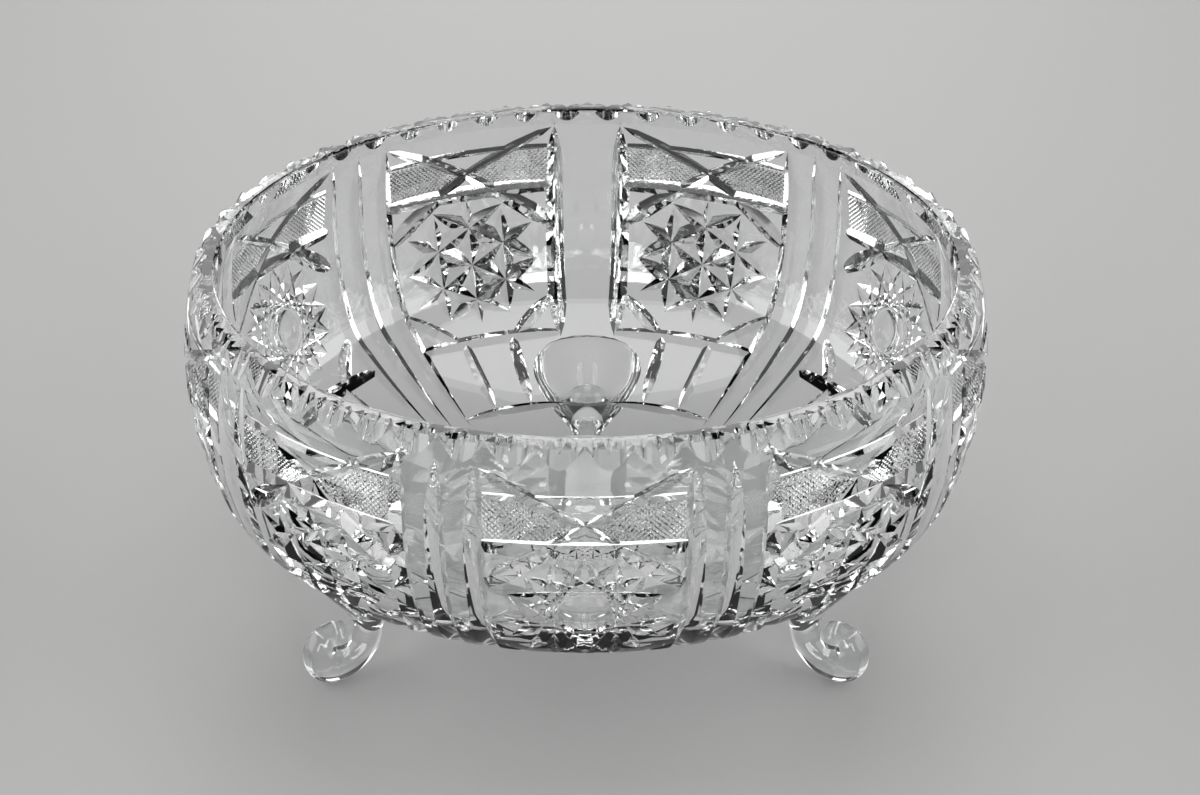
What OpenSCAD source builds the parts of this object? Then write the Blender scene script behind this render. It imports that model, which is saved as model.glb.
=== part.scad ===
// Cut-crystal fruit bowl on three scroll feet.
// Millimetres. The table is z = 0, +Z is up and the front of the bowl faces -Y.
// The three feet stand 120 degrees apart, with one of them at the back.

/* [Bowl] */
// Outer radius at the rim
rim_radius = 101.5; // [95:0.5:110]
// Height of the rim above the table
bowl_height = 105; // [100:0.5:115]
// How much wider the belly is than the rim, in radius
belly_bulge = 3.4; // [3:0.1:4.2]
// How far the widest line lies below the rim
belly_drop = 23.4; // [21:0.2:26]
// Radius of the heel under the wall
heel_radius = 33; // [30:0.5:36]
// Radius of the shallow curve under the bowl
underside_radius = 162; // [150:1:175]
// Radius of the flat in the middle of the underside
base_radius = 45; // [40:0.5:48]
// Thickness of the wall
wall = 7; // [6.5:0.25:8]
// Thickness of the glass under the inside floor
floor_thickness = 9; // [8:0.25:11]

/* [Rim] */
// Scallops in each ninth of the rim
scallops_per_cell = 6; // [5:1:7]
// Depth of a scallop at the outer edge
scallop_depth = 1.8; // [1.4:0.1:2.2]
// Lean of a scallop from upright, in degrees
scallop_lean = 32; // [26:1:38]

/* [Cutting] */
// Depth of the upright mitres between the panels
flute_depth = 1.9; // [1.4:0.1:2.2]
// Step between the upright mitres, in degrees
flute_step = 5.4; // [5.2:0.1:5.8]
// Depth of the mitres that frame a panel
frame_depth = 2; // [1.5:0.1:2.4]
// Depth of the mitres of a star
star_depth = 2; // [1.6:0.1:2.2]
// Distance between the crossings in a star's lattice
star_pitch = 11.5; // [11:0.1:12]
// Half the angle of the cutting wheel's edge
wheel_half_angle = 50; // [46:1:54]
// Drop from the rim to the crossing of a panel's diagonals
cross_drop = 20.2; // [18.6:0.2:21.6]
// Slope of a panel's diagonals, in degrees
cross_slope = 31; // [29:0.5:33]
// Drop from the rim to the level cut under the crossing
level_drop = 26.4; // [25.2:0.2:28]
// Drop from the rim to the centre of a star
star_drop = 47.5; // [46:0.5:49]
// Radius of the round hob in a hobstar
hob_radius = 6.6; // [6:0.1:7.2]
// Depth of the mitres round a hob
ray_depth = 1.5; // [1.2:0.1:1.7]

/* [Feet] */
// Thickness of the glass rod of a scroll
rod = 8.2; // [7.6:0.2:9]
// Distance of a scroll's centre from the axis
scroll_radius = 76.5; // [74.5:0.5:78.5]
// Bend radius of the curled end
curl_bend = 4.7; // [4.6:0.1:5.2]
// Bend radius where the neck turns out along the table
neck_bend = 10; // [9.4:0.2:11]
// Width of the neck where it spreads under the bowl
neck_spread = 30; // [26:0.5:33]
// How much is ground off the underside of a scroll
ground_off = 0.4; // [0.3:0.1:0.6]

/* [Hidden] */
$fn = 96;
cells = 9;
cell = 360 / cells;
first_column = 90;
first_panel = first_column - cell / 2;
// How far a cutter stands out of the glass, and the length of a straight one
clear = 1.4;
straight = 70;
// Upright mitres: drop of their middle from the rim, and half their length
flute_drop = 37;
flute_half = 29;
// Middle of a diagonal's arm from the crossing
arm_shift = 14;
// Mitres that touch a circle round the hob: their number, and the gap to the hob
rays = 8;
ray_gap = 0.6;
// Slopes of a star's slanted mitres, each with its share of the depth
star_slants = [[30, 0.86], [150, 0.72]];
// Half the width of the groove round a hob at its floor and at the top
hob_floor = 1;
hob_open = 1.2;
// How much shallower the scallops are cut inside their edge
scallop_lift = 0.4;
// Scroll: where the rod's end is rounded, and how much fuller its ends are
curl_end = 115;
end_full = 0.5;
// Neck of a foot: its lean outwards, and the height over which it spreads
neck_lean = 8;
neck_rise = 26;
// Upper curve of the wall, from the rim round the belly to the heel
ra = (belly_bulge * belly_bulge + belly_drop * belly_drop) / (2 * belly_bulge);
ca = [rim_radius + belly_bulge - ra, bowl_height - belly_drop];
heel_from = 21.2;
ja = ca + ra * [cos(heel_from), -sin(heel_from)];
// Heel, which crosses the wall and the underside at a slight angle
heel_to = 58.3;
crease = 6;
cb = ja - heel_radius * [cos(heel_from + crease), -sin(heel_from + crease)];
jb = cb + heel_radius * [cos(heel_to - crease), -sin(heel_to - crease)];
// Underside
cc = jb - underside_radius * [cos(heel_to), -sin(heel_to)];
base_turn = acos((base_radius - cc[0]) / underside_radius);
base_z = cc[1] - underside_radius * sin(base_turn);

// Surface of the plain bowl at height z
function arc_centre(z) = z > ja[1] ? ca : z > jb[1] ? cb : cc;
function arc_radius(z) = z > ja[1] ? ra : z > jb[1] ? heel_radius : underside_radius;
function turn(z) = asin((z - arc_centre(z)[1]) / arc_radius(z));
function surface_r(z) = arc_centre(z)[0] + arc_radius(z) * cos(turn(z));

// Half section, filled, at a distance t inside the outer surface.
// The heel takes the place of the corner between the wall and the underside.
module half_section(t, low, high) {
    past = 3;
    behind = 1.5;
    corner = heel_radius + 7;
    d = (jb - ja) / norm(jb - ja);
    n = [d[1], -d[0]];
    p = ja - past * d + (t + behind) * n;
    q = jb + past * d + (t + behind) * n;
    difference() {
        intersection() {
            translate(ca) circle(ra - t);
            translate(cc) circle(underside_radius - t);
            translate([0, low]) square([2 * rim_radius, high - low]);
        }
        difference() {
            polygon([p, q, q - corner * n, p - corner * n]);
            translate(cb) circle(heel_radius - t);
        }
    }
}

module blank() rotate_extrude() half_section(0, base_z, bowl_height);

// Edge of the cutting wheel: a V with its point at distance r
module wheel(r, reach) {
    w = reach * tan(wheel_half_angle);
    polygon([[r, 0], [r + reach, -w], [r + reach, w]]);
}

// Places a cut on the wall: X runs out of the glass, Y along the cut
module on_wall(u, z, slope) {
    rotate([0, 0, u]) translate([surface_r(z), 0, z]) rotate([0, -turn(z), 0]) rotate([slope, 0, 0])
        children();
}

// A straight mitre, pointed where the wall curves away from it, moved along its slope and off it
module mitre(u, z, slope, depth, shift = 0, off = 0) {
    rise = shift * sin(slope) + off * cos(slope);
    side = shift * cos(slope) - off * sin(slope);
    zz = z + rise * cos(turn(z + rise / 2));
    on_wall(u + side / surface_r(zz) * 180 / PI, zz, slope)
        rotate([90, 0, 0]) linear_extrude(straight, center = true) wheel(-depth, depth + 2 * clear);
}

// An upright mitre that follows the wall from below the rim to the heel
module flute(u) {
    sag = flute_half * flute_half / (2 * ra) - flute_depth;
    r = (flute_half * flute_half + sag * sag) / (2 * sag);
    open = asin(flute_half / r);
    on_wall(u, bowl_height - flute_drop, 90) translate([-flute_depth - r, 0, 0]) rotate([0, 0, -open])
        rotate_extrude(angle = 2 * open) wheel(r, flute_depth + clear);
}

// Upright mitres between two panels: three, or two above a foot
module column(u, over_foot) {
    for (k = over_foot ? [-1, 1] : [-1, 0, 1]) flute(u + k * flute_step);
}

// Crossed diagonals and level cut at the top of a panel
module frame(u) {
    for (s = [-1, 1]) for (e = [-1, 1])
        mitre(u, bowl_height - cross_drop, s * cross_slope, frame_depth, e * arm_shift);
    mitre(u, bowl_height - level_drop, 0, frame_depth);
}

// Six-point star: an upright mitre and two sets of three slanted ones, each set at its own depth
module six_star(u) {
    z = bowl_height - star_drop;
    mitre(u, z, 90, star_depth);
    for (d = star_slants) for (k = [-1, 0, 1])
        mitre(u, z, d[0], star_depth * d[1], 0, k * star_pitch * cos(30));
}

// Hobstar: a round hob with mitres that touch a circle about it
module hob_star(u) {
    z = bowl_height - star_drop;
    on_wall(u, z, 0) rotate([0, 90, 0]) rotate_extrude()
        polygon([
            [hob_radius + hob_open, -hob_floor],
            [hob_radius - hob_open, clear],
            [hob_radius + 3 * hob_open, clear]
        ]);
    for (k = [0 : rays - 1]) mitre(u, z, k * 360 / rays, ray_depth, 0, hob_radius + ray_gap);
}

// One hollow of the rim
module scallop(u) {
    width = 2 * PI * rim_radius / (cells * scallops_per_cell);
    r = (width * width / 4 + scallop_depth * scallop_depth) / (2 * scallop_depth);
    edge = rim_radius - scallop_depth + scallop_lift;
    rotate([0, 0, u]) translate([edge, 0, bowl_height]) rotate([0, -scallop_lean, 0])
        translate([r, 0, 0]) cylinder(r = r, h = straight / 2, center = true);
}

module bowl() color([0.86, 0.93, 0.95, 0.5]) {
    difference() {
        rotate_extrude() difference() {
            half_section(0, base_z, bowl_height);
            half_section(wall, base_z + floor_thickness, bowl_height + clear);
        }
        for (k = [0 : cells - 1]) {
            column(first_column + k * cell, k % 3 == 0);
            frame(first_panel + k * cell);
            if (k % 3 == 2) hob_star(first_panel + k * cell);
            if (k % 3 != 2) six_star(first_panel + k * cell);
        }
        for (k = [0 : cells * scallops_per_cell - 1])
            scallop(first_panel + (k + 0.5) * cell / scallops_per_cell);
    }
}

// A scroll foot in the plane y = 0, out along +X
module scroll() {
    low = rod / 2 - ground_off;
    bend_z = low + neck_bend;
    curl_z = low + curl_bend;
    neck_x = scroll_radius - neck_bend;
    tip = [scroll_radius + curl_bend * cos(curl_end), 0, curl_z + curl_bend * sin(curl_end)];
    difference() {
        union() {
            translate([scroll_radius, 0, curl_z]) rotate([90, 0, 0]) rotate([0, 0, -90])
                rotate_extrude(angle = 90 + curl_end) translate([curl_bend, 0]) circle(d = rod);
            translate(tip) sphere(d = rod + end_full);
            translate([scroll_radius, 0, bend_z]) rotate([90, 0, 0]) rotate([0, 0, 180])
                rotate_extrude(angle = 90) translate([neck_bend, 0]) circle(d = rod);
            translate([neck_x, 0, bend_z]) {
                sphere(d = rod + end_full);
                rotate([0, neck_lean, 0]) cylinder(d1 = rod, d2 = neck_spread, h = neck_rise);
            }
        }
        translate([neck_x - neck_rise, -neck_rise, -rod]) cube([2 * neck_rise + rod, 2 * neck_rise, rod]);
        blank();
    }
}

module foot_rear() color([0.86, 0.93, 0.95, 0.6]) rotate([0, 0, 90]) scroll();
module foot_front_left() color([0.86, 0.93, 0.95, 0.6]) rotate([0, 0, 210]) scroll();
module foot_front_right() color([0.86, 0.93, 0.95, 0.6]) rotate([0, 0, 330]) scroll();

bowl();
foot_rear();
foot_front_left();
foot_front_right();
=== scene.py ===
import math

import bpy
from mathutils import Matrix, Vector


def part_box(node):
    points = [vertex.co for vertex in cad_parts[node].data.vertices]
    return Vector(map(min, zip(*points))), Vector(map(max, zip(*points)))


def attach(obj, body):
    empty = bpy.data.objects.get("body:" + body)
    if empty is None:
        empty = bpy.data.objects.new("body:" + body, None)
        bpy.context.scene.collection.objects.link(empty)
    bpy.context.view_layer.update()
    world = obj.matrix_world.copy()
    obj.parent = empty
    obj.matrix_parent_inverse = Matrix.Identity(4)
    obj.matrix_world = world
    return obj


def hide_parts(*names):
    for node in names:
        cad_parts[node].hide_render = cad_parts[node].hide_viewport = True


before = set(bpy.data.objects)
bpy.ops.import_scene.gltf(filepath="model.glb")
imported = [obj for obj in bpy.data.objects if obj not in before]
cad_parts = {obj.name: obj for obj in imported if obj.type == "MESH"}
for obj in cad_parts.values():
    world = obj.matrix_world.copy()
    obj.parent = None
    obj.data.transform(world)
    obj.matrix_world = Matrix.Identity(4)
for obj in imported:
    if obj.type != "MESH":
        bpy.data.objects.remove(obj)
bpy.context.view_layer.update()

# Lengths are written in millimetres and angles in degrees
MM = 0.001

# Plain blank of the bowl
RIM_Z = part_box("bowl")[1][2] / MM
RIM_R = 101.5
BELLY_BULGE = 3.39
BELLY_DROP = 23.4
HEEL_R = 22.6
HEEL_FROM = 21.15
HEEL_TO = 58.3
UNDERSIDE_R = 162.4
BASE_R = 45.0
WALL = 7.0

# Rim of the blank: a ring on its flat top, and the rounded edge towards the inside
RIM_RING = 2.4
LIP_ROUND = 1.3
LIP_IN = 0.25
LIP_DROP = 0.8

# How finely the blank is divided
SEGMENTS = 216
UPPER_STEPS = 20
HEEL_STEPS = 10
UNDERSIDE_STEPS = 9
LIP_STEPS = 5
BASE_RINGS = (0.66, 0.33, 0.0)

# How near two points are merged: those of a turned shape, in metres, and those that cuts leave
MERGE = 1e-6
WELD = 0.005

# Layout of the cutting round the bowl
CELL = 40.0
PANELS = [70.0 + CELL * k for k in range(9)]
HOB_PANELS = [30.0, 150.0, 270.0]
STAR_PANELS = [u for u in PANELS if u % 360 not in HOB_PANELS]
COLUMNS = [90.0 + CELL * k for k in range(9)]
FOOT_COLUMNS = [90.0, 210.0, 330.0]

# Mitres. A place on the wall is (w, s): w along the wall, counted at a radius of GAUGE_R,
# and s along the half section, upwards from the widest line. A wheel is half the angle of its edge,
# CLEAR is how far a cutter stands out of the glass, and RUN_OUT the depth where a cut has ended
GAUGE_R = 100.0
WHEEL = 46.0
CLEAR = 1.0
RUN_OUT = -0.1
STEP = 1.6
HALF_STEPS = 6
SWELL = 3

# Upright mitres, as places s down the wall with the depth there
FLUTE_TURN = 5.4
FLUTE_CLEAR = 0.8
FLUTE_DEPTH = 2.6
FLUTE_END_R = 57.0
FLUTE_HEAD = [(17.6, RUN_OUT), (14.6, 0.95), (9.1, 2.0), (1.0, FLUTE_DEPTH)]
FLUTE_TAIL = [(-45.0, FLUTE_DEPTH), (-58.0, 1.8), (-68.0, 1.1)]
FOOT_FLUTE_TAIL = [(-41.0, FLUTE_DEPTH), (-48.0, 1.5), (-53.0, RUN_OUT)]

# Crossed diagonals: ends of their arms, and depths by the share of the way from the crossing
CROSS_S = 3.2
ARM_TOP = (25.0, 17.2)
ARM_LOW = (23.4, -14.0)
ARM_TOP_DEPTHS = [(1.0, RUN_OUT), (0.86, 1.2), (0.55, 1.8), (0.0, 1.4)]
ARM_LOW_DEPTHS = [(0.35, 2.1), (0.8, 2.7), (1.0, 1.8)]

# Level cuts: place, half length, depth, and depth at the ends
LEVELS = [(10.4, 23.5, 1.1, 0.8), (-3.0, 24.0, 2.5, 1.8), (-51.0, 25.0, 2.2, 1.2)]

# Cuts to the left and right under a star: start, end, depth, and depth at each end
SLANT = ((23.5, -38.0), (9.8, -51.5), 2.1, (1.0, 1.1))
RADIAL = ((8.6, -52.0), (8.6, -76.0), 1.7, (1.3, RUN_OUT))

# Chord across the radials on the underside
CHORD_R = 61.0
CHORD_HALF = 27.0
CHORD_DEPTH = 1.6

# Six-point stars on a lattice of crossings STAR_PITCH apart. STAR_REACH gives the half lengths
# at each slope: of the middle mitre, and of those beside it
STAR_WHEEL = 52.0
STAR_CLEAR = 0.5
STAR_SWELL = 2.5
STAR_S = -25.2
STAR_PITCH = 11.5
STAR_DEPTH = 2.6
STAR_BESIDE_DEPTH = 2.4
STAR_REACH = {30: (22.0, 18.0), 90: (20.0, 16.5), 150: (22.0, 18.0)}
STAR_LATTICE = 30.0

# Hobstars: chords round a domed hob, each reaching to the one that is HOB_SKIP places on
HOB_S = -24.8
HOB_CHORDS = 16
HOB_SKIP = 6
HOB_TANGENT = 7.7
HOB_CHORD_DEPTH = 1.8
HOB_R = 6.1
HOB_SUNK = 0.3
HOB_DOME = 2.1
HOB_CURVE = 2.2
HOB_STEPS = 8
HOB_SEGMENTS = 48

# Trench round a hob: its floor from the hob's edge and below it, its width, and the cutter's top
TRENCH_FLOOR = 0.6
TRENCH_DROP = 0.1
TRENCH_OPEN = 3.2
TRENCH_TOP = 0.8

# Hatching
HATCH_WHEEL = 57.0
HATCH_CLEAR = 0.3
HATCH_PITCH = 1.0
HATCH_DEPTH = 0.32
HATCH_SLOPES = (45, 135)
HATCH_LINES = 40
HATCH_FIELD = [(1.2, 3.2), (11.9, 9.2), (23.6, 9.2), (23.6, -1.0), (4.9, -0.3)]
FAR = 99.0
PARALLEL = 1e-9

# Scallops of the rim, and the teeth along their edge
SCALLOPS = 54
SCALLOP_DEPTH = 2.5
SCALLOP_LEAN = 35.0
SCALLOP_LENGTH = 30.0
SCALLOP_SIDES = 72
TEETH_PER_SCALLOP = 3
TOOTH_WHEEL = 54.0
TOOTH_SET = 1.5
TOOTH_LEAN = 39.0
TOOTH_REACH = 3.2
TOOTH_RUN = (-0.3, 7.0)

# Faces this near the height of the rim have the finish of the facets
CUT_TOP = 0.05

# Feet
FEET = {"foot_rear": 90.0, "foot_front_left": 210.0, "foot_front_right": 330.0}
ROD_R = 4.1
ROD_SIDES = 24
SCROLL_R = 76.5
CURL_BEND = 4.7
CURL_END = 104
CURL_STEPS = 13
TIP_TURN = 20
TIP_STEPS = 4
NECK_BEND = 10.0
BEND_STEPS = 6
GROUND_OFF = 0.4
FUSED_LAYER = 0.05
FOOT_LEVELS = 2

# Neck of a foot, from the top: height, inner and outer edge from the axis, and half the width across
NECK = [
    (39, 59.6, 87.0, 17.0),
    (33, 60.0, 83.4, 16.3),
    (28, 60.6, 79.8, 14.8),
    (23.5, 61.2, 76.0, 12.2),
    (20, 61.8, 73.0, 9.3),
    (17, 62.2, 71.2, 6.6),
]

# Faces that meet at less than these angles are shaded as one surface
FOOT_SMOOTH = 30
BOWL_SMOOTH = 13

# Finishes of the glass, by their place in a piece's list
POLISHED, FACET, FUSED = range(3)

# Looks of the glass and of the floor
CRYSTAL_IOR = 1.545
CLEAR_TINT = (0.945, 0.952, 0.952, 1)
DEEP_TINT = (0.92, 0.93, 0.933, 1)
TRACE_ROUGHNESS = 0.2
TRACE_CONTRAST = 6.0
FACET_ROUGHNESS = 0.008
FACET_SATIN = 0.06
RIPPLE_STRENGTH = 0.1
FLOOR_SIZE = 24
FLOOR_TINT = (0.46, 0.46, 0.455, 1)
FLOOR_ROUGHNESS = 0.5
ROOM_TINT = (0.06, 0.06, 0.0612, 1)

# Camera
SENSOR = 36
LENS = 104.94
CAMERA_AT = (0.00365, -0.8166, 0.5022)
CAMERA_DIP = 28.24


# Wall of the blank as three arcs: upper wall, heel and underside
def polar(degrees):
    return Vector((math.cos(math.radians(degrees)), math.sin(math.radians(degrees))))


UPPER_R = (BELLY_BULGE ** 2 + BELLY_DROP ** 2) / (2 * BELLY_BULGE)
UPPER_C = Vector((RIM_R + BELLY_BULGE - UPPER_R, RIM_Z - BELLY_DROP))
RIM_TURN = math.degrees(math.asin(BELLY_DROP / UPPER_R))
HEEL_C = UPPER_C + (UPPER_R - HEEL_R) * polar(-HEEL_FROM)
UNDERSIDE_C = HEEL_C + (HEEL_R - UNDERSIDE_R) * polar(-HEEL_TO)
BASE_TURN = math.degrees(math.acos((BASE_R - UNDERSIDE_C.x) / UNDERSIDE_R))
HEEL_TOP_S = -UPPER_R * math.radians(HEEL_FROM)
HEEL_LOW_S = HEEL_TOP_S - HEEL_R * math.radians(HEEL_TO - HEEL_FROM)


def wall_point(s):
    """Point of the half section at a distance s along it, and how far its normal turns up."""
    if s > HEEL_TOP_S:
        turn = math.degrees(s / UPPER_R)
        return UPPER_C + UPPER_R * polar(turn), turn
    if s > HEEL_LOW_S:
        turn = -HEEL_FROM + math.degrees((s - HEEL_TOP_S) / HEEL_R)
        return HEEL_C + HEEL_R * polar(turn), turn
    turn = -HEEL_TO + math.degrees((s - HEEL_LOW_S) / UNDERSIDE_R)
    return UNDERSIDE_C + UNDERSIDE_R * polar(turn), turn


def underside_s(r):
    """Distance along the half section of the point of the underside at radius r."""
    turn = math.degrees(math.acos((r - UNDERSIDE_C.x) / UNDERSIDE_R))
    return HEEL_LOW_S - UNDERSIDE_R * math.radians(turn - HEEL_TO)


def on_wall(u, w, s):
    """Point on the outside of the blank and its normal, at a place of the panel at u."""
    spot, turn = wall_point(s)
    angle = math.radians(u) + w / GAUGE_R
    out = Vector((math.cos(angle), math.sin(angle), 0))
    up = Vector((0, 0, 1))
    normal = math.cos(math.radians(turn)) * out + math.sin(math.radians(turn)) * up
    return spot.x * out + spot.y * up, normal


# Hand tools
def only(*pieces):
    bpy.ops.object.select_all(action="DESELECT")
    for piece in pieces:
        piece.select_set(True)
    bpy.context.view_layer.objects.active = pieces[0]


def edit(piece):
    only(piece)
    bpy.ops.object.mode_set(mode="EDIT")
    bpy.ops.mesh.select_all(action="SELECT")


def done():
    bpy.ops.object.mode_set(mode="OBJECT")


def place(piece, matrix):
    only(piece)
    piece.matrix_world = matrix
    bpy.ops.object.transform_apply(location=True, rotation=True, scale=True)
    return piece


def trace(name, points):
    """Draws an open line of edges through points, by extruding one vertex, and stays in edit mode."""
    bpy.ops.object.select_all(action="DESELECT")
    bpy.ops.mesh.primitive_plane_add(size=MM, location=(0, 0, 0))
    piece = bpy.context.object
    piece.name = name
    edit(piece)
    bpy.ops.mesh.merge(type="CENTER")
    here = Vector(points[0])
    bpy.ops.transform.translate(value=here * MM)
    for point in points[1:]:
        bpy.ops.mesh.extrude_region_move(TRANSFORM_OT_translate={"value": (Vector(point) - here) * MM})
        here = Vector(point)
    bpy.ops.mesh.select_all(action="SELECT")
    return piece


def close_up(piece):
    """Merges doubled points of a shape in edit mode and points its faces outwards."""
    bpy.ops.mesh.select_all(action="SELECT")
    bpy.ops.mesh.remove_doubles(threshold=MERGE)
    bpy.ops.mesh.normals_make_consistent(inside=False)
    done()
    return piece


def lathe(name, line, segments):
    piece = trace(name, line)
    bpy.ops.mesh.spin(steps=segments, angle=math.tau, center=(0, 0, 0), axis=(0, 0, -1))
    return close_up(piece)


def around(piece, count, step):
    """Repeats a cutter about the bowl's axis."""
    edit(piece)
    turn = math.radians(step * (count - 1))
    bpy.ops.mesh.spin(steps=count - 1, dupli=True, angle=turn, center=(0, 0, 0), axis=(0, 0, -1))
    done()
    return piece


def cut(body, cutter):
    """Takes a cutter out of a body and deletes the cutter."""
    only(body)
    modifier = body.modifiers.new("cut", "BOOLEAN")
    modifier.operation = "DIFFERENCE"
    modifier.solver = "MANIFOLD"
    modifier.material_mode = "INDEX"
    modifier.object = cutter
    bpy.ops.object.modifier_apply(modifier=modifier.name)
    bpy.data.objects.remove(cutter)


def weld(piece):
    """Merges points that the cuts left almost on one another."""
    edit(piece)
    bpy.ops.mesh.remove_doubles(threshold=WELD * MM)
    done()


def smooth(piece, degrees):
    only(piece)
    bpy.ops.object.shade_smooth_by_angle(angle=math.radians(degrees))


def coat(piece, index):
    """Gives a piece the three finishes, with one of them on every face."""
    piece.data.materials.clear()
    for finish in finishes:
        piece.data.materials.append(finish)
    for face in piece.data.polygons:
        face.material_index = index


def copy_of(piece):
    twin = piece.copy()
    twin.data = piece.data.copy()
    bpy.context.collection.objects.link(twin)
    return twin


# Cutting wheel
class Wheel:
    """Gathers V grooves that don't meet, to be cut into the glass in one go."""

    def __init__(self):
        self.points = []
        self.faces = []

    def skin(self, sections):
        """Closes a row of three-cornered sections into one cutter."""
        first = len(self.points)
        for section in sections:
            self.points += [p * MM for p in section]
        for k in range(len(sections) - 1):
            a = first + 3 * k
            for i in range(3):
                j = (i + 1) % 3
                self.faces.append((a + i, a + j, a + 3 + j, a + 3 + i))
        last = first + 3 * len(sections) - 3
        self.faces += [(first + 2, first + 1, first), (last, last + 1, last + 2)]

    def groove(self, u, path, half_angle=WHEEL, clear=CLEAR):
        """Follows the wall through places (w, s, depth) of the panel at u."""
        stations = [path[0]]
        for a, b in zip(path, path[1:]):
            count = max(1, math.ceil(math.hypot(b[0] - a[0], b[1] - a[1]) / STEP))
            for k in range(1, count + 1):
                stations.append(tuple(p + (q - p) * k / count for p, q in zip(a, b)))
        spots = [on_wall(u, w, s) for w, s, _ in stations]
        sections = []
        for k, (spot, normal) in enumerate(spots):
            along = spots[min(k + 1, len(spots) - 1)][0] - spots[max(k - 1, 0)][0]
            side = along.cross(normal).normalized()
            depth = stations[k][2]
            spread = (depth + clear) * math.tan(math.radians(half_angle)) * side
            top = spot + clear * normal
            sections.append((spot - depth * normal, top + spread, top - spread))
        self.skin(sections)

    def mitre(self, u, start, end, depth, ends, half_angle=WHEEL, clear=CLEAR, swell=SWELL):
        """A straight mitre, deepest in its middle, with its own depth at each end."""
        path = []
        for k in range(-HALF_STEPS, HALF_STEPS + 1):
            t = k / HALF_STEPS
            edge = ends[0] if t < 0 else ends[1]
            path.append((
                start[0] + (end[0] - start[0]) * (t + 1) / 2,
                start[1] + (end[1] - start[1]) * (t + 1) / 2,
                edge + (depth - edge) * (1 - abs(t) ** swell),
            ))
        self.groove(u, path, half_angle, clear)

    def star_mitre(self, u, s, slope, off, half, depth):
        """A mitre of a star, at a distance off the star's centre."""
        along = polar(slope)
        across = Vector((-along.y, along.x))
        middle = Vector((0, s)) + off * across
        start = middle - half * along
        end = middle + half * along
        self.mitre(u, start, end, depth, (RUN_OUT, RUN_OUT), STAR_WHEEL, STAR_CLEAR, STAR_SWELL)

    def use(self, body):
        """Cuts all that was gathered into a body."""
        mesh = bpy.data.meshes.new("grooves")
        mesh.from_pydata(self.points, [], self.faces)
        grooves = bpy.data.objects.new("grooves", mesh)
        bpy.context.collection.objects.link(grooves)
        coat(grooves, FACET)
        edit(grooves)
        bpy.ops.mesh.normals_make_consistent(inside=False)
        done()
        cut(body, grooves)


# Bowl
def arc(centre, radius, start, end, steps):
    spots = []
    for i in range(steps + 1):
        p = centre + radius * polar(start + (end - start) * i / steps)
        spots.append((p.x, 0, p.y))
    return spots


def wall_line(inset, fine=1):
    """Half section of the wall from the rim down to the flat base, inset from the outside."""
    line = arc(UPPER_C, UPPER_R - inset, RIM_TURN, -HEEL_FROM, UPPER_STEPS * fine)
    line += arc(HEEL_C, HEEL_R - inset, -HEEL_FROM, -HEEL_TO, HEEL_STEPS * fine)[1:]
    line += arc(UNDERSIDE_C, UNDERSIDE_R - inset, -HEEL_TO, -BASE_TURN, UNDERSIDE_STEPS * fine)[1:]
    x, _, z = line[-1]
    return line + [(x * share, 0, z) for share in BASE_RINGS]


def make_blank():
    inner = [p for p in wall_line(WALL) if p[2] < RIM_Z - LIP_ROUND - LIP_DROP]
    lip_centre = Vector((inner[0][0] + LIP_IN + LIP_ROUND, RIM_Z - LIP_ROUND))
    lip = arc(lip_centre, LIP_ROUND, 90, 180, LIP_STEPS)
    line = wall_line(0)[::-1] + [(RIM_R - RIM_RING, 0, RIM_Z)] + lip + inner
    return lathe("cut_bowl", line, SEGMENTS)


def cut_flutes(bowl):
    """Upright mitres between the panels: three, or two above a foot."""
    wheel = Wheel()
    to_underside = FLUTE_TAIL + [(underside_s(FLUTE_END_R), RUN_OUT)]
    for u in COLUMNS:
        over_foot = u % 360 in FOOT_COLUMNS
        tail = FOOT_FLUTE_TAIL if over_foot else to_underside
        path = [(0, s, depth) for s, depth in FLUTE_HEAD + tail]
        for k in (-1, 1) if over_foot else (-1, 0, 1):
            wheel.groove(u + k * FLUTE_TURN, path, clear=FLUTE_CLEAR)
    wheel.use(bowl)


def arm(side, end, depths):
    """Places of a diagonal's arm between the crossing and its end."""
    return [(side * end[0] * share, CROSS_S + (end[1] - CROSS_S) * share, depth) for share, depth in depths]


def on_side(side, mitre):
    """A mitre as it is written, or mirrored to the other side of its panel."""
    start, end, depth, ends = mitre
    return (side * start[0], start[1]), (side * end[0], end[1]), depth, ends


def cut_frames(bowl):
    """Crossed diagonals and level cuts of every panel, and the cuts under its star."""
    for side in (-1, 1):
        wheel = Wheel()
        diagonal = arm(-side, ARM_TOP, ARM_TOP_DEPTHS) + arm(side, ARM_LOW, ARM_LOW_DEPTHS)
        for u in PANELS:
            wheel.groove(u, diagonal)
        wheel.use(bowl)
    levels = Wheel()
    slants = Wheel()
    radials = Wheel()
    chords = Wheel()
    base = underside_s(CHORD_R)
    for u in PANELS:
        for s, half, depth, end in LEVELS:
            levels.mitre(u, (-half, s), (half, s), depth, (end, end))
        chords.mitre(u, (-CHORD_HALF, base), (CHORD_HALF, base), CHORD_DEPTH, (RUN_OUT, RUN_OUT))
        for side in (-1, 1):
            slants.mitre(u, *on_side(side, SLANT))
            radials.mitre(u, *on_side(side, RADIAL))
    for wheel in (levels, slants, radials, chords):
        wheel.use(bowl)


def cut_six_stars(bowl):
    """Three sets of three crossing mitres on two panels of each three."""
    off = STAR_PITCH * math.cos(math.radians(STAR_LATTICE))
    for slope, (middle, beside) in STAR_REACH.items():
        wheel = Wheel()
        for u in STAR_PANELS:
            wheel.star_mitre(u, STAR_S, slope, 0, middle, STAR_DEPTH)
            wheel.star_mitre(u, STAR_S, slope, off, beside, STAR_BESIDE_DEPTH)
            wheel.star_mitre(u, STAR_S, slope, -off, beside, STAR_BESIDE_DEPTH)
        wheel.use(bowl)


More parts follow.
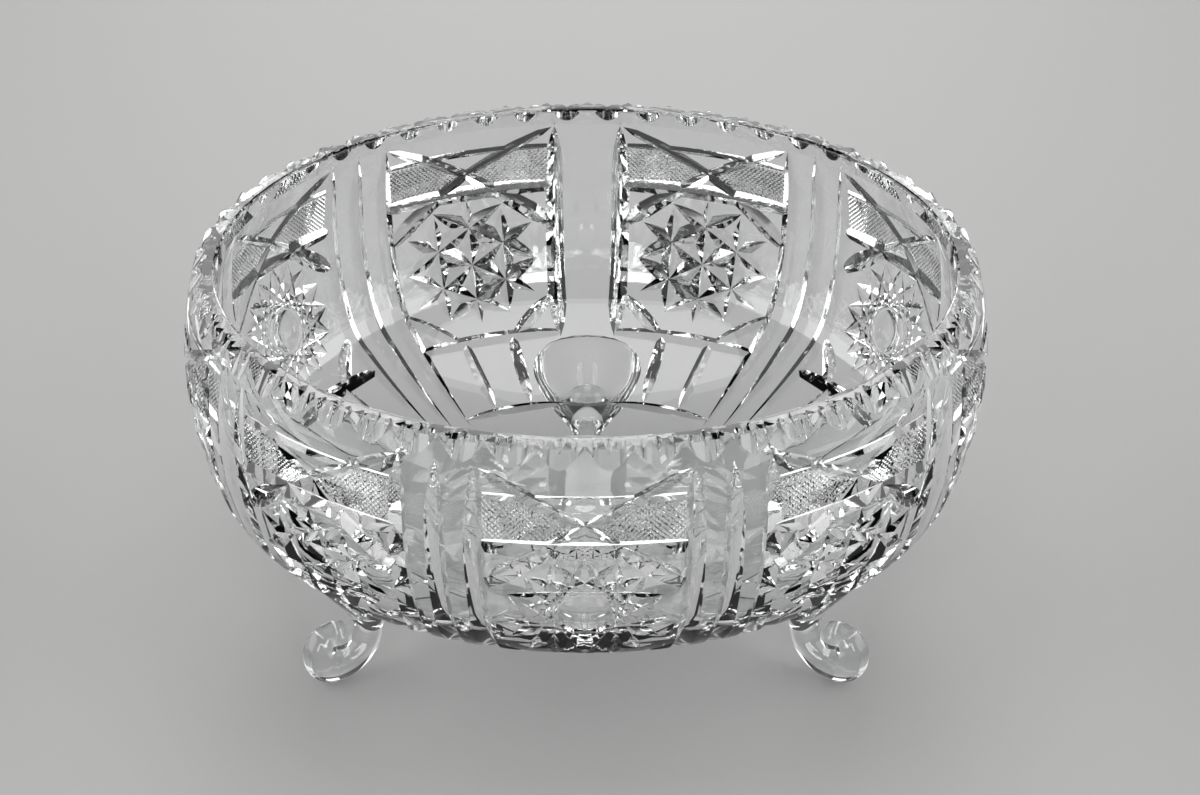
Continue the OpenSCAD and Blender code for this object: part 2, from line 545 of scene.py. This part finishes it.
def cut_hob_stars(bowl):
    """A round hob with mitres tangent to a circle about it, on one panel of each three."""
    half = HOB_TANGENT * math.tan(math.radians(180 * HOB_SKIP / HOB_CHORDS))
    for k in range(HOB_CHORDS // 2):
        wheel = Wheel()
        slope = k * 360 / HOB_CHORDS
        for u in HOB_PANELS:
            for side in (-1, 1):
                wheel.star_mitre(u, HOB_S, slope, side * HOB_TANGENT, half, HOB_CHORD_DEPTH)
        wheel.use(bowl)
    line = []
    for k in range(HOB_STEPS + 1):
        share = k / HOB_STEPS
        line.append((HOB_R * k / HOB_STEPS, 0, -HOB_SUNK - HOB_DOME * share ** HOB_CURVE))
    line.append((HOB_R + TRENCH_FLOOR, 0, -HOB_SUNK - HOB_DOME - TRENCH_DROP))
    line.append((HOB_R + TRENCH_OPEN, 0, TRENCH_TOP))
    line.append((0, 0, TRENCH_TOP))
    for u in HOB_PANELS:
        spot, normal = on_wall(u, 0, HOB_S)
        hollow = lathe("hob_hollow", line, HOB_SEGMENTS)
        coat(hollow, FACET)
        face_out = normal.to_track_quat("Z", "Y").to_matrix().to_4x4()
        cut(bowl, place(hollow, Matrix.Translation(spot * MM) @ face_out))


def clipped(middle, along, corners):
    """Stretch of a line inside a field, as distances from middle, or nothing."""
    low, high = -FAR, FAR
    for a, b in zip(corners, corners[1:] + corners[:1]):
        edge = Vector(b) - Vector(a)
        inward = Vector((edge.y, -edge.x))
        slope = along.dot(inward)
        reach = (Vector(a) - middle).dot(inward)
        if abs(slope) < PARALLEL:
            continue
        if slope > 0:
            low = max(low, reach / slope)
        else:
            high = min(high, reach / slope)
    return (low, high) if high - low > HATCH_PITCH else None


def cut_hatching(bowl):
    """Fields of fine crossed cuts to the left and right of each crossing, every second line at a time."""
    mirrored = [(-w, s) for w, s in HATCH_FIELD[::-1]]
    for slope in HATCH_SLOPES:
        along = polar(slope)
        across = Vector((-along.y, along.x))
        for odd in (0, 1):
            wheel = Wheel()
            for corners in (HATCH_FIELD, mirrored):
                for k in range(odd - HATCH_LINES, HATCH_LINES + 1, 2):
                    middle = Vector((0, CROSS_S)) + k * HATCH_PITCH * across
                    span = clipped(middle, along, corners)
                    if span:
                        start, end = (middle + t * along for t in span)
                        path = [(p.x, p.y, HATCH_DEPTH) for p in (start, end)]
                        for u in PANELS:
                            wheel.groove(u, path, HATCH_WHEEL, HATCH_CLEAR)
            wheel.use(bowl)


def cut_scallops(bowl):
    """Hollows round the rim, every second one at a time."""
    step = 360 / SCALLOPS
    width = math.tau * RIM_R / SCALLOPS
    radius = (width ** 2 / 4 + SCALLOP_DEPTH ** 2) / (2 * SCALLOP_DEPTH)
    size = {"vertices": SCALLOP_SIDES, "radius": radius * MM, "depth": SCALLOP_LENGTH * MM}
    for k in (0.5, 1.5):
        bpy.ops.object.select_all(action="DESELECT")
        bpy.ops.mesh.primitive_cylinder_add(**size)
        hollow = bpy.context.object
        coat(hollow, FACET)
        lean = Matrix.Rotation(math.radians(-SCALLOP_LEAN), 4, "Y")
        edge = Matrix.Translation(Vector((RIM_R - SCALLOP_DEPTH, 0, RIM_Z)) * MM)
        out = Matrix.Translation((radius * MM, 0, 0))
        turn = Matrix.Rotation(math.radians(PANELS[0] + k * step), 4, "Z")
        cut(bowl, around(place(hollow, turn @ edge @ lean @ out), SCALLOPS // 2, 2 * step))


def cut_teeth(bowl):
    """Teeth along the edge of the scallops, at one place of every scallop at a time."""
    step = 360 / SCALLOPS
    side = TOOTH_REACH * math.tan(math.radians(TOOTH_WHEEL))
    lean = Matrix.Rotation(math.radians(TOOTH_LEAN), 3, "Y")
    for tooth in range(TEETH_PER_SCALLOP):
        wheel = Wheel()
        share = (tooth + 0.5) / TEETH_PER_SCALLOP
        inset = SCALLOP_DEPTH * (1 - (2 * share - 1) ** 2) + TOOTH_SET
        edge = Vector((RIM_R - inset, 0, RIM_Z))
        for k in range(SCALLOPS):
            turn = Matrix.Rotation(math.radians(PANELS[0] + (k + share) * step), 3, "Z")
            sections = []
            for x in TOOTH_RUN:
                point = Vector((x, 0, 0))
                corners = (point, Vector((x, -side, TOOTH_REACH)), Vector((x, side, TOOTH_REACH)))
                sections.append([turn @ (edge + lean @ p) for p in corners])
            wheel.skin(sections)
        wheel.use(bowl)


def make_bowl():
    bowl = make_blank()
    coat(bowl, POLISHED)
    cut_flutes(bowl)
    cut_frames(bowl)
    cut_six_stars(bowl)
    cut_hob_stars(bowl)
    cut_hatching(bowl)
    cut_scallops(bowl)
    cut_teeth(bowl)
    for face in bowl.data.polygons:
        if face.center.z > (RIM_Z - CUT_TOP) * MM:
            face.material_index = FACET
    return bowl


# Feet
def ring(x, z, lean, in_plane, across):
    """One cross-section of a foot, square to the way the glass runs."""
    bpy.ops.object.select_all(action="DESELECT")
    bpy.ops.mesh.primitive_circle_add(vertices=ROD_SIDES, radius=MM)
    piece = bpy.context.object
    spot = Matrix.Translation(Vector((x, 0, z)) * MM)
    tilt = Matrix.Rotation(math.radians(lean), 4, "Y")
    return place(piece, spot @ tilt @ Matrix.Diagonal((in_plane, across, 1, 1)))


def foot_rings():
    """Sections from the spread neck inside the bowl's wall, round the scroll to its tip."""
    low = ROD_R - GROUND_OFF
    rings = [ring((a + b) / 2, z, 0, (b - a) / 2, across) for z, a, b, across in NECK]
    for k in range(BEND_STEPS + 1):
        turn = 180 + 90 * k / BEND_STEPS
        spot = Vector((SCROLL_R, low + NECK_BEND)) + NECK_BEND * polar(turn)
        rings.append(ring(spot.x, spot.y, 180 - turn, ROD_R, ROD_R))
    for k in range(1, CURL_STEPS + 1):
        turn = -90 + (CURL_END + 90) * k / CURL_STEPS
        spot = Vector((SCROLL_R, low + CURL_BEND)) + CURL_BEND * polar(turn)
        rings.append(ring(spot.x, spot.y, -turn - 180, ROD_R, ROD_R))
    along = Vector((-math.sin(math.radians(CURL_END)), math.cos(math.radians(CURL_END))))
    for k in range(1, TIP_STEPS + 1):
        angle = math.radians(TIP_TURN * k)
        end = spot + along * ROD_R * math.sin(angle)
        size = ROD_R * math.cos(angle)
        rings.append(ring(end.x, end.y, -CURL_END - 180, size, size))
    return rings


def select_rings(piece, count, first, last):
    """Selects the edges that lie within the sections first to last."""
    edit(piece)
    bpy.ops.mesh.select_mode(type="EDGE")
    bpy.ops.mesh.select_all(action="DESELECT")
    done()
    for edge in piece.data.edges:
        a, b = (v // count for v in edge.vertices)
        edge.select = a == b and first <= a <= last
    bpy.ops.object.mode_set(mode="EDIT")


def make_foot(name, u):
    """A scroll foot: sections bridged, closed, rounded and ground flat below, then turned to its place."""
    rings = foot_rings()
    count = len(rings[0].data.vertices)
    total = len(rings)
    only(*rings)
    bpy.ops.object.join()
    foot = rings[0]
    for k in range(total - 1):
        select_rings(foot, count, k, k + 1)
        bpy.ops.mesh.bridge_edge_loops()
        done()
    for end in (0, total - 1):
        select_rings(foot, count, end, end)
        bpy.ops.mesh.edge_face_add()
        done()
    edit(foot)
    bpy.ops.mesh.select_mode(type="VERT")
    close_up(foot)
    rounding = foot.modifiers.new("rounding", "SUBSURF")
    rounding.levels = FOOT_LEVELS
    rounding.render_levels = FOOT_LEVELS
    only(foot)
    bpy.ops.object.modifier_apply(modifier=rounding.name)
    edit(foot)
    ground = {"plane_co": (0, 0, 0), "plane_no": (0, 0, 1), "threshold": MERGE}
    bpy.ops.mesh.bisect(use_fill=True, clear_inner=True, **ground)
    close_up(foot)
    foot.name = name
    return place(foot, Matrix.Rotation(math.radians(u), 4, "Z"))


def plug(inset):
    """Solid of the bowl's outside, to part a foot from the bowl."""
    line = wall_line(inset, 2)
    solid = lathe("plug", [(0, 0, line[0][2])] + line, SEGMENTS)
    coat(solid, FUSED)
    return solid


# Stage
def make_stage():
    bpy.ops.object.select_all(action="DESELECT")
    bpy.ops.mesh.primitive_plane_add(size=FLOOR_SIZE, location=(0, 0, 0))
    floor = bpy.context.object
    floor.name = "floor"
    material = bpy.data.materials.new("pale_floor")
    material.use_nodes = True
    shader = material.node_tree.nodes["Principled BSDF"]
    shader.inputs["Base Color"].default_value = FLOOR_TINT
    shader.inputs["Roughness"].default_value = FLOOR_ROUGHNESS
    floor.data.materials.append(material)


def make_camera():
    data = bpy.data.cameras.new("camera")
    data.sensor_width = SENSOR
    data.lens = LENS
    camera = bpy.data.objects.new("camera", data)
    bpy.context.collection.objects.link(camera)
    camera.location = CAMERA_AT
    camera.rotation_euler = (math.radians(90 - CAMERA_DIP), 0, 0)
    bpy.context.scene.camera = camera


def softbox(name, at, aim, size, brightness):
    """A lamp with an even face, as bright as written: 1 is as bright as white paper."""
    data = bpy.data.lights.new(name, "AREA")
    data.shape = "RECTANGLE"
    data.size, data.size_y = size
    data.energy = brightness * math.pi * size[0] * size[1]
    lamp = bpy.data.objects.new(name, data)
    bpy.context.collection.objects.link(lamp)
    lamp.location = at
    lamp.rotation_euler = (Vector(aim) - Vector(at)).to_track_quat("-Z", "Y").to_euler()


def make_light():
    """Soft panels beside, behind and above the bowl and two strips in front, in a dim room. Metres."""
    for side in (-1, 1):
        beside = (1.6 * side, 0.1, 0.85)
        in_front = (0.5 * side, -1.7, 0.6)
        softbox("side_panel", at=beside, aim=(0, 0.1, 0.85), size=(2.8, 1.5), brightness=2.6)
        softbox("front_strip", at=in_front, aim=(0, 0, 0.1), size=(0.35, 0.9), brightness=7.0)
    softbox("back_panel", at=(0, 1.6, 0.9), aim=(0, 0, 0.1), size=(0.8, 1.4), brightness=2.0)
    softbox("top_panel", at=(0, 0.1, 2.0), aim=(0, 0.1, 0), size=(1.5, 1.5), brightness=1.6)
    world = bpy.data.worlds.new("studio")
    bpy.context.scene.world = world
    world.use_nodes = True
    world.node_tree.nodes["Background"].inputs["Color"].default_value = ROOM_TINT


# Glass
class Wire:
    """A socket of a material's nodes, on which sums are written as on numbers."""

    def __init__(self, tree, socket):
        self.tree = tree
        self.socket = socket

    def node(self, kind, settings, inputs, output=0):
        """Adds a node: its settings first, then the values or links of its sockets."""
        made = self.tree.nodes.new(kind)
        for name, value in settings.items():
            setattr(made, name, value)
        for name, value in inputs.items():
            self.feed(made.inputs[name], value)
        return Wire(self.tree, made.outputs[output])

    def feed(self, socket, value):
        if isinstance(value, Wire):
            self.tree.links.new(value.socket, socket)
        else:
            socket.default_value = value

    def sum(self, operation, a, b):
        return self.node("ShaderNodeMath", {"operation": operation}, {0: a, 1: b})

    def __add__(self, other):
        return self.sum("ADD", self, other)

    def __mul__(self, other):
        return self.sum("MULTIPLY", self, other)

    def __pow__(self, other):
        return self.sum("POWER", self, other)

    def __rpow__(self, other):
        return self.sum("POWER", other, self)

    __radd__ = __add__
    __rmul__ = __mul__


def new_material(name):
    """A material with its shader, and a wire that carries the place on the piece."""
    material = bpy.data.materials.new(name)
    material.use_nodes = True
    tree = material.node_tree
    spot = tree.nodes.new("ShaderNodeTexCoord").outputs["Object"]
    return material, tree.nodes["Principled BSDF"].inputs, Wire(tree, spot)


def noise(spot, scale, detail=2.0):
    settings = {"noise_dimensions": "3D"}
    return spot.node("ShaderNodeTexNoise", settings, {"Vector": spot, "Scale": scale, "Detail": detail})


def mixed(factor, first, second):
    """A colour between two others."""
    return factor.node("ShaderNodeMix", {"data_type": "RGBA"}, {0: factor, 6: first, 7: second}, 2)


def ripple(shader, height, distance):
    """Makes a surface a little wavy, to a distance in metres."""
    bump = {"Height": height, "Strength": RIPPLE_STRENGTH, "Distance": distance}
    height.feed(shader["Normal"], height.node("ShaderNodeBump", {}, bump))


def glass(name):
    """Crystal with faint bands in its colour; its roughness and surface are left to the finish."""
    material, shader, spot = new_material(name)
    spot.feed(shader["Base Color"], mixed(noise(spot, scale=18.0), CLEAR_TINT, DEEP_TINT))
    shader["IOR"].default_value = CRYSTAL_IOR
    shader["Transmission Weight"].default_value = 1.0
    return material, shader, spot


def polished(name):
    """Fire-polished crystal: a little wavy, with faint traces of handling."""
    material, shader, spot = glass(name)
    traces = noise(spot, scale=60.0, detail=4.0) ** TRACE_CONTRAST
    spot.feed(shader["Roughness"], TRACE_ROUGHNESS * traces)
    ripple(shader, noise(spot, scale=45.0), distance=0.0003)
    return material


def facets(name):
    """Facets left by the wheel: polished again, and still a little satin along the cut."""
    material, shader, spot = glass(name)
    streaks = noise(spot, scale=900.0, detail=3.0)
    satin = FACET_SATIN * streaks * noise(spot, scale=80.0)
    spot.feed(shader["Roughness"], FACET_ROUGHNESS + satin)
    ripple(shader, streaks, distance=0.0001)
    return material


def fused(name):
    """Faces where a foot and the bowl are one glass, which don't show."""
    material = bpy.data.materials.new(name)
    material.use_nodes = True
    shader = material.node_tree.nodes["Principled BSDF"]
    shader.inputs["Alpha"].default_value = 0.0
    return material


make_camera()
make_light()
make_stage()
finishes = [polished("polished_crystal"), facets("cut_facets"), fused("fused_joint")]

bowl = make_bowl()
for node, u in FEET.items():
    foot = make_foot("scroll_" + node, u)
    coat(foot, POLISHED)
    socket = copy_of(foot)
    coat(socket, FUSED)
    cut(socket, plug(FUSED_LAYER))
    cut(bowl, socket)
    cut(foot, plug(0))
    weld(foot)
    smooth(foot, FOOT_SMOOTH)
    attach(foot, "root")
    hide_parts(node)

weld(bowl)
smooth(bowl, BOWL_SMOOTH)
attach(bowl, "root")
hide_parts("bowl")

bpy.context.scene.view_settings.view_transform = "Standard"
